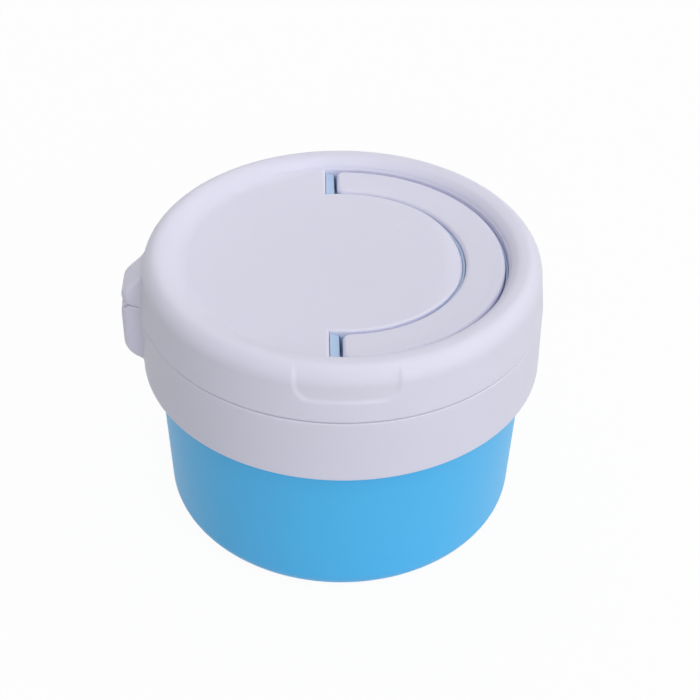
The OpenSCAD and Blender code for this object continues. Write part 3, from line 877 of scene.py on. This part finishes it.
def lug_tree():
    """Short arcs set round a ring."""
    tree = bpy.data.node_groups.new("lugs", "GeometryNodeTree")
    sockets = {}
    for label, kind in (("Count", "NodeSocketInt"), ("Angle", "NodeSocketFloat"),
                        ("Radius", "NodeSocketFloat"), ("Width", "NodeSocketFloat"),
                        ("Height", "NodeSocketFloat"), ("Level", "NodeSocketFloat"),
                        ("Material", "NodeSocketMaterial")):
        socket = tree.interface.new_socket(name=label, in_out="INPUT", socket_type=kind)
        sockets[label] = socket.identifier
    tree.interface.new_socket(name="Geometry", in_out="OUTPUT", socket_type="NodeSocketGeometry")
    given = tree.nodes.new("NodeGroupInput").outputs
    sweep = wired(tree, "GeometryNodeCurveArc", {
        "Resolution": 17, "Radius": given["Radius"], "Sweep Angle": given["Angle"]})
    section = wired(tree, "GeometryNodeCurvePrimitiveQuadrilateral", {
        "Width": given["Width"], "Height": given["Height"]})
    rounded = tree.nodes.new("GeometryNodeFilletCurve")
    rounded.mode = "POLY"
    plug(tree, rounded, {"Curve": section.outputs["Curve"], "Count": 3, "Radius": 0.3 * MM})
    upright = wired(tree, "GeometryNodeSetCurveNormal", {"Curve": sweep.outputs["Curve"]})
    upright.mode = "Z_UP"
    solid = wired(tree, "GeometryNodeCurveToMesh", {
        "Curve": upright.outputs["Curve"], "Profile Curve": rounded.outputs["Curve"], "Fill Caps": True})
    lift = wired(tree, "ShaderNodeCombineXYZ", {"Z": given["Level"]})
    places = wired(tree, "GeometryNodePoints", {
        "Count": given["Count"], "Position": lift.outputs["Vector"]})
    index = tree.nodes.new("GeometryNodeInputIndex").outputs["Index"]
    share = number(tree, "DIVIDE", math.tau, given["Count"])
    first = number(tree, "MULTIPLY_ADD", given["Angle"], -0.5, math.pi / 4)
    about = wired(tree, "ShaderNodeCombineXYZ", {"Z": number(tree, "MULTIPLY_ADD", index, share, first)})
    copies = wired(tree, "GeometryNodeInstanceOnPoints", {
        "Points": places.outputs["Points"], "Instance": solid.outputs["Mesh"],
        "Rotation": about.outputs["Vector"]})
    real = wired(tree, "GeometryNodeRealizeInstances", {"Geometry": copies.outputs["Instances"]})
    finish = wired(tree, "GeometryNodeSetMaterial", {
        "Geometry": real.outputs["Geometry"], "Material": given["Material"]})
    wired(tree, "NodeGroupOutput", {"Geometry": finish.outputs["Geometry"]})
    return tree, sockets


LUG_TREE, LUG_INPUTS = lug_tree()


def add_lugs(piece, r_in, r_out, low):
    """Four lugs of 28 degrees and 2 mm height, made part of a piece."""
    holder = bpy.data.objects.new("lug_holder", bpy.data.meshes.new("lug_holder"))
    bpy.context.scene.collection.objects.link(holder)
    step = holder.modifiers.new("lugs", "NODES")
    step.node_group = LUG_TREE
    values = {"Count": 4, "Angle": math.radians(28), "Radius": (r_in + r_out) / 2 * MM,
              "Width": (r_out - r_in) * MM, "Height": 2 * MM, "Level": (low + 1) * MM,
              "Material": piece.data.materials[0]}
    for label, value in values.items():
        step[LUG_INPUTS[label]] = value
    made = result_mesh(holder)
    shape = bmesh.new()
    shape.from_mesh(made)
    bmesh.ops.remove_doubles(shape, verts=shape.verts, dist=1e-7)
    bmesh.ops.recalc_face_normals(shape, faces=shape.faces)
    shape.from_mesh(piece.data)
    shape.to_mesh(piece.data)
    shape.free()
    bpy.data.objects.remove(holder)
    bpy.data.meshes.remove(made)
    finish_mesh(piece.data)


# ---- cup ----

def make_cup():
    """Cup with a foot ring, a slight taper, a shoulder, a neck and four lugs."""
    low_r = 45.4
    outline = [(0, 0.6), (18, 0.6), (30, 0.6), (36.3, 0.6), (36.42, 0.57), (36.95, 0.04), (37.1, 0.0),
               (38.6, 0.0)]
    outline += arc(low_r - 5.5, 5.5, 5.5, 5.5, -90, 0, 16)
    outline += spread([(low_r, 5.5), (46.7, 42.5)], 12)[1:]
    outline += arc(45.7, 42.5, 1.0, 1.0, 15, 90, 5)
    outline += [(45.4, 43.5), (45.1, 43.6), (45.0, 43.8), (45.0, 49.0), (45.0, 55.0)]
    outline += arc(44.4, 55.4, 0.6, 0.6, 0, 90, 6)
    outline += arc(43.8, 55.4, 0.6, 0.6, 90, 180, 6)
    outline += [(43.2, 50.0), (43.2, 43.2), (43.3, 42.5), (44.5, 40.9), (44.75, 40.3)]
    outline += spread([(44.75, 40.3), (43.6, 5.9)], 10)[1:]
    outline += arc(39.9, 5.9, 3.7, 3.7, 0, -90, 12)
    outline += [(36.0, 2.2), (20.0, 2.2), (0, 2.2)]
    shell = Shell()
    shell.turned(outline, 224)
    piece = add_piece("cup_body", shell, cup_blue, 40)
    add_lugs(piece, 44.5, 47.1, 49.6)
    return piece


def make_gasket():
    """Ring between the cup's rim and the collar's deck."""
    section = [(42.7, 56.2, 0.35), (47.8, 56.2, 0.35), (47.8, DECK_Z, 0.2), (42.7, DECK_Z, 0.2)]
    shell = Shell()
    shell.turned(soften(section), 160)
    return add_piece("rim_gasket", shell, seal_soft)


# ---- flap guard ----

def make_guard_ring():
    """Ring that grips the deck's edge, with a web in to the flaps."""
    shell = Shell()
    lines = []
    steps = 240
    for j in range(steps):
        a = 360 * j / steps
        off = ((a + FLAP_TURN / 2) % FLAP_TURN) - FLAP_TURN / 2
        opening = BEND_FROM_R / math.cos(math.radians(off))
        corners = [(42.0, 59.7, 0.15), (42.0, 60.7, 0.45), (37.0, 60.7, 0.55), (37.0, 59.2, 0.4),
                   (opening, 59.2, 0.1), (opening, 58.0, 0.1), (37.0, 58.0, 0.3),
                   (37.0, 56.7, 0.3), (41.8, 56.7, 0.3), (41.8, 57.7, 0.1),
                   (39.9, 57.7, 0.1), (39.9, 59.7, 0.1)]
        section = soften(corners, 4)
        line = [shell.point(*round_point(a, r), z) for r, z in section]
        lines.append(line + line[:1])
    shell.wrap(lines)
    return add_piece("guard_rim", shell, guard_soft)


def make_flap(index):
    """One soft flap: rounded rim, thinned bend line, and a root inside the ring's web."""
    edge = 0.45
    insets = [0.0, 0.03, 0.12, 0.27, edge]
    corner = math.radians(29.6)
    root_w = 17.44
    stations = insets + [1.2, 3, 5.5, 8.5, 12, 15.5, 18.5, 21, 22.6, 23.6, 24.2, 24.6, 24.9, 25.2, 25.5,
                         25.8, 26.2, 26.6, 27.2]
    turn = math.radians((index - 1) * FLAP_TURN)
    shell = Shell()
    layers = []
    for side in (1, -1):
        lines = []
        for along in stations:
            line = []
            width = min(2.96 + 0.5487 * along, root_w)
            lateral = [-(width - d) for d in insets]
            lateral += [(width - edge) * k / 5 for k in range(-4, 5)]
            lateral += [width - d for d in reversed(insets)]
            for y in lateral:
                share = y / width
                start = 6 * math.cos(share * corner)
                x = start + along + (5.217 - start) * ease(along / 26)
                gap = min(along, width - abs(y))
                drop = edge_drop(gap, edge)
                groove = 0.3 * math.exp(-((x - 31.6) / 0.55) ** 2) if side > 0 else 0.0
                z = FLAP_Z + side * (0.6 - drop) - groove
                line.append(shell.point(x * math.cos(turn) - y * math.sin(turn),
                                        x * math.sin(turn) + y * math.cos(turn), z))
            lines.append(line)
        for a, b in zip(lines, lines[1:]):
            shell.strip(a, b)
        layers.append(lines)
    upper, lower = layers

    def rim(lines):
        return (lines[0] + [line[-1] for line in lines[1:]] + lines[-1][-2::-1]
                + [line[0] for line in lines[-2:0:-1]])

    a = rim(upper)
    b = rim(lower)
    shell.strip(a + a[:1], b + b[:1])
    return add_piece(f"guard_flap_{index}", shell, guard_soft, 50)


# ---- liner, seal and pin ----

def trough_height(x, y):
    """Top of the liner: its plate, the handle's trough, and the ramps at the trough's ends."""
    low = TROUGH_Z + 0.9 * ease((x - 5) / 3)
    along = x - NOTCH_X
    inside = inside_slot(x, y)
    if along < 2.55:
        ramp = 69.9 - 0.3 * along
        ramp += (low - ramp) * ease((along - 2.3) / 0.25)
        return PLATE_TOP + (ramp - PLATE_TOP) * ease(inside / 0.15)
    ledge = PLATE_TOP + 1.7 * ease(inside / 0.1)
    return ledge + (low - ledge) * ease((inside - 0.55) / 0.2)


def make_liner():
    """Plate under the lid's top with the handle's trough, flange, skirt and two round pads."""
    ends = [SLOT_END + math.degrees(d / CHANNEL_R)
            for d in (-3.6, -3.15, -2.8, -2.6, -2.5, -2.4, -2.3, -2.2, -2.1, -2.0, -1.9, -1.8, -1.7,
                      -1.6, -1.4, -1.0, -0.4, -0.15, -0.1, -0.05, 0, 1.1, 1.2, 1.3, 1.4, 1.5)]
    angles = sorted(set(wall_angles(180.0, [], 1.5, 1.5, ends)) | {180.0}, reverse=True)
    columns = all_round([Column(a) for a in angles])
    depth = PLATE_TOP - TROUGH_Z
    top_rows = [42.0, 41.2, 40.8, 40.72, 40.65, 40.5, 40.3, 40.25, 40.2, 40.15, 40.1, 40.05,
                38, 35.2, 32.4, 30.35, 30.3, 30.25, 30.2, 30.15, 30.1, 29.9, 29.75, 29.68, 29.6,
                27, 20, 10, 0]
    low_rows = [42.3, 42.2, 42.1, 42.0, 41.9, 38, 35.2, 32.4, 28.5, 28.4, 28.3, 28.2, 28.1, 24, 15, 8, 0]
    shell = Shell()
    lines = []
    for column in columns:
        line = []
        for r in reversed(low_rows):
            x, y = slot_point(column, r)
            line.append(shell.point(x, y, PLATE_LOW - depth * ease(inside_slot(x, y, 1.5) / 0.4)))
        for r, z in ((42.3, 67.2), (42.2, 67.42)):
            line.append(shell.point(*slot_point(column, r), z))
        for r in top_rows:
            x, y = slot_point(column, r)
            line.append(shell.point(x, y, trough_height(x, y)))
        lines.append(line)
    shell.wrap(lines)
    shell.turned(soften([(41.9, 64.09, 0.2), (47.85, 64.09, 0.3), (47.85, 65.59, 0.4), (41.9, 65.59, 0.2)]))
    shell.turned(soften([(43.2, 61.2, 0.3), (44.6, 61.2, 0.3), (44.6, 64.6, 0.2), (43.2, 64.6, 0.2)]))
    for side in (-1, 1):
        cx, cy = round_point(42 * side, 35.2)
        shell.plate(arc(cx, cy, 3, 3, 0, 348.75, 31), 64.4, PLATE_LOW, 0.3)
    return add_piece("handle_trough", shell, liner_blue)


def make_seal():
    """Soft ring on the skirt, with two ribs on each side."""
    shell = Shell()
    shell.turned(soften([
        (42.5, 59.9, 0.4), (45.3, 59.9, 0.4), (45.3, 60.6, 0.1), (45.5, 60.85, 0.1), (45.3, 61.1, 0.1),
        (45.3, 61.7, 0.1), (45.5, 61.95, 0.1), (45.3, 62.2, 0.1), (45.3, 62.88, 0.3), (42.5, 62.88, 0.3),
        (42.5, 62.2, 0.1), (42.3, 61.95, 0.1), (42.5, 61.7, 0.1), (42.5, 61.1, 0.1), (42.3, 60.85, 0.1),
        (42.5, 60.6, 0.1)], 3))
    return add_piece("lid_gasket", shell, seal_soft)


def make_pin():
    """Rod through the hinge's knuckles."""
    shell = Shell()
    shell.pin(PIN_X, SEAM_Z, 0.5, -4.3, 4.3, 0.15)
    return add_piece("pivot_rod", shell, pin_white)


# ---- handle ----

def make_handle():
    """C-shaped band that follows the dished top, with rounded edges and ends and two pivot stubs."""
    corner = 2.0
    cx = HANDLE_END_X + corner
    mid = (HANDLE_R + HANDLE_IN_R) / 2
    step = (HANDLE_R - HANDLE_IN_R) / 2 - corner
    out_a = math.degrees(math.acos(cx / HANDLE_R))
    in_a = math.degrees(math.acos(cx / HANDLE_IN_R))
    outer = arc(0, 0, HANDLE_R, HANDLE_R, -out_a, out_a, 150)
    inner = arc(0, 0, HANDLE_IN_R, HANDLE_IN_R, in_a, -in_a, 150)
    end = arc(cx, mid + step, corner, corner, 92, 180, 8)
    end += arc(cx, mid - step, corner, corner, 180, 268, 8)
    other = [(x, -y) for x, y in reversed(end)]
    outline = outer + end + inner + other
    shell = Shell()
    low, high = shell.slab(outline, HANDLE_Z, HANDLE_TOP, 1.1, 7)
    for i, (x, y, z) in enumerate(shell.points):
        rise = top_z(math.hypot(x, y)) - FLOOR_Z - 0.6
        rise *= ease((z - HANDLE_Z) / 3)
        shell.points[i] = (x, y, z + rise)
    count = len(outer)
    first_in = count + len(end)
    for line in (low, high):
        for i in range(count - 1):
            near = first_in + count - 1 - i
            shell.faces.append((line[i], line[i + 1], line[near - 1], line[near]))
        shell.faces.append(tuple(line[count - 1:first_in + 1]))
        shell.faces.append(tuple(line[first_in + count - 1:] + line[:1]))
    for side in (-1, 1):
        y0 = 38.2 if side > 0 else -43.2
        shell.pin(PIVOT_X, PIVOT_Z, 1.5, y0, y0 + 5.0, 0.2)
    return add_piece("carry_handle", shell, shell_white)


# ---- the parts in their places ----

def place(piece, body, node, slot):
    """Hangs a piece on its body, in place of its plain node."""
    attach(piece, body)
    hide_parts(node)


place(make_cup(), "cup", "cup", "cup_blue")
collar = make_collar()
add_lugs(collar, 45.6, 48.5, 47.3)
place(collar, "collar", "collar", "shell_white")
place(make_gasket(), "collar", "cup_gasket", "seal_soft")
place(make_guard_ring(), "collar", "guard_ring", "guard_soft")
place(make_pin(), "collar", "hinge_pin", "pin_white")
place(make_lid_shell(), "lid", "lid_shell", "shell_white")
place(make_liner(), "lid", "lid_liner", "liner_blue")
place(make_seal(), "lid", "lid_seal", "seal_soft")
place(make_handle(), "handle", "handle", "shell_white")

for number_of_flap in range(1, 7):
    flap = make_flap(number_of_flap)
    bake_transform(flap)
    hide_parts(f"flap_{number_of_flap}")


# ---- stage, light and camera ----

# The tent of light: its even level, and soft lobes toward which it is brighter or darker.
TENT_LEVEL = 0.59
TENT_SIDES = [((0, 0, 1), 0.43), ((0.67, -0.67, 0.33), 0.80), ((0.35, -0.93, 0.05), 0.54),
              ((0, 0.6, 0.8), 0.1), ((-0.94, 0, 0.33), -0.48), ((-0.67, -0.67, 0.33), -0.17),
              ((0, 0.94, 0.33), -0.1), ((0.98, 0.2, 0.05), -0.30)]
TENT_DARKEST = 0.05

# The floor: its grey where it lights the part and where it is seen, and its own glow where it is seen.
FLOOR_BOUNCE = (0.6, 0.6, 0.6, 1)
FLOOR_SEEN = (0.9, 0.9, 0.9, 1)
FLOOR_GLOW = 0.95
WHITE = (1, 1, 1, 1)


def seen_ray(tree):
    """1 for rays that show the background: camera, glossy and transmission rays."""
    path = tree.nodes.new("ShaderNodeLightPath")
    seen = number(tree, "MAXIMUM", path.outputs["Is Camera Ray"], path.outputs["Is Glossy Ray"])
    return number(tree, "MAXIMUM", seen, path.outputs["Is Transmission Ray"])


def finish_mix(tree, share, near, seen, output):
    """Ends a tree in a mix of two shaders."""
    mix = wired(tree, "ShaderNodeMixShader", {0: share, 1: near.outputs[0], 2: seen.outputs[0]})
    wired(tree, output, {"Surface": mix.outputs[0]})


def stage_material():
    """Plain white floor: mostly its own white, with the soft shade that the object casts."""
    material = bpy.data.materials.new("white_floor")
    material.use_nodes = True
    tree = material.node_tree
    tree.nodes.clear()
    seen = seen_ray(tree)
    matte = wired(tree, "ShaderNodeBsdfDiffuse", {
        "Color": mixed_colour(tree, seen, FLOOR_BOUNCE, FLOOR_SEEN)})
    white = wired(tree, "ShaderNodeEmission", {"Color": WHITE})
    share = number(tree, "MULTIPLY", seen, FLOOR_GLOW)
    finish_mix(tree, share, matte, white, "ShaderNodeOutputMaterial")
    return material


def make_floor():
    """A large flat floor under the foot."""
    mesh = bpy.data.meshes.new("floor")
    size = 3.0
    corners = [(-size, -size, 0), (size, -size, 0), (size, size, 0), (-size, size, 0)]
    mesh.from_pydata(corners, [], [(0, 1, 2, 3)])
    mesh.materials.append(stage_material())
    floor = bpy.data.objects.new("floor", mesh)
    bpy.context.scene.collection.objects.link(floor)


def make_world():
    """A tent of soft light, brighter above, in front and to the right; white where it is seen."""
    world = bpy.data.worlds.new("studio")
    world.use_nodes = True
    tree = world.node_tree
    tree.nodes.clear()
    direction = tree.nodes.new("ShaderNodeTexCoord").outputs["Generated"]
    level = TENT_LEVEL
    for toward, strength in TENT_SIDES:
        side = tree.nodes.new("ShaderNodeVectorMath")
        side.operation = "DOT_PRODUCT"
        plug(tree, side, {0: direction, 1: toward})
        lit = number(tree, "MAXIMUM", side.outputs["Value"], 0.0)
        glow = number(tree, "MULTIPLY", number(tree, "POWER", lit, 3), strength)
        level = number(tree, "ADD", glow, level)
    level = number(tree, "MAXIMUM", level, TENT_DARKEST)
    room = wired(tree, "ShaderNodeBackground", {"Color": WHITE, "Strength": level})
    white = wired(tree, "ShaderNodeBackground", {"Color": WHITE, "Strength": 1.0})
    finish_mix(tree, seen_ray(tree), room, white, "ShaderNodeOutputWorld")
    bpy.context.scene.world = world


def make_camera():
    """View from in front and 38 degrees above, with a slight roll."""
    data = bpy.data.cameras.new("camera")
    data.lens = 73.72
    data.sensor_width = 36.0
    data.clip_start = 0.01
    camera = bpy.data.objects.new("camera", data)
    lift = math.radians(38.286)
    roll = 0.017
    forward = Vector((0, math.cos(lift), -math.sin(lift)))
    level = Vector((1, 0, 0))
    above = level.cross(forward)
    right = level * math.cos(roll) + above * math.sin(roll)
    up = above * math.cos(roll) - level * math.sin(roll)
    turn = Matrix.Rotation(math.radians(-2.1), 3, "Z")
    axes = Matrix((turn @ right, turn @ up, turn @ -forward)).transposed()
    spot = turn @ Vector((2.2256, -290.317, 270.646)) * MM
    camera.matrix_world = Matrix.Translation(spot) @ axes.to_4x4()
    bpy.context.scene.collection.objects.link(camera)
    bpy.context.scene.camera = camera


make_floor()
make_world()
make_camera()

bpy.context.scene.view_settings.view_transform = "Standard"
